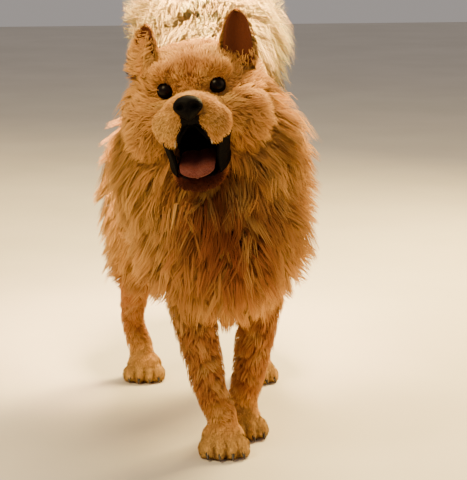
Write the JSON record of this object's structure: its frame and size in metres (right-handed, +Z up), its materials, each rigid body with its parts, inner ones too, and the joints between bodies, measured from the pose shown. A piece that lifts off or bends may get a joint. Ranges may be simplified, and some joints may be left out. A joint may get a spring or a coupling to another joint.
{
  "type": "chow chow",
  "caption": "Life-size chow chow walking forward with its head raised, its mouth open and its plumed tail carried over its back.",
  "frame": {"origin": "on the floor, under the middle of the dog's bounding box", "axes": "+Z up, the dog faces -Y, +X to its left"},
  "size_m": [0.3452, 0.6666, 0.6997],
  "materials": {
    "golden_coat": "long golden outer coat over soft wool",
    "cream_coat": "long cream plume hair",
    "ear": "short dense ear fur",
    "nose_leather": "damp black nose skin",
    "eye": "dark brown glossy eye",
    "tongue": "wet mauve tongue"
  },
  "bodies": {
    "root": {"head": "golden_coat", "left_ear": "ear", "left_eye": "eye", "left_foreleg": "golden_coat", "left_forepaw": "golden_coat", "left_hind_leg": "golden_coat", "left_hindpaw": "golden_coat", "left_thigh": "golden_coat", "lower_jaw": "golden_coat", "neck_ruff": "golden_coat", "nose": "nose_leather", "right_ear": "ear", "right_eye": "eye", "right_foreleg": "golden_coat", "right_forepaw": "golden_coat", "right_hind_leg": "golden_coat", "right_hindpaw": "golden_coat", "right_thigh": "golden_coat", "tail": "cream_coat", "tongue": "tongue", "torso": "golden_coat"}
  },
  "joints": []
}
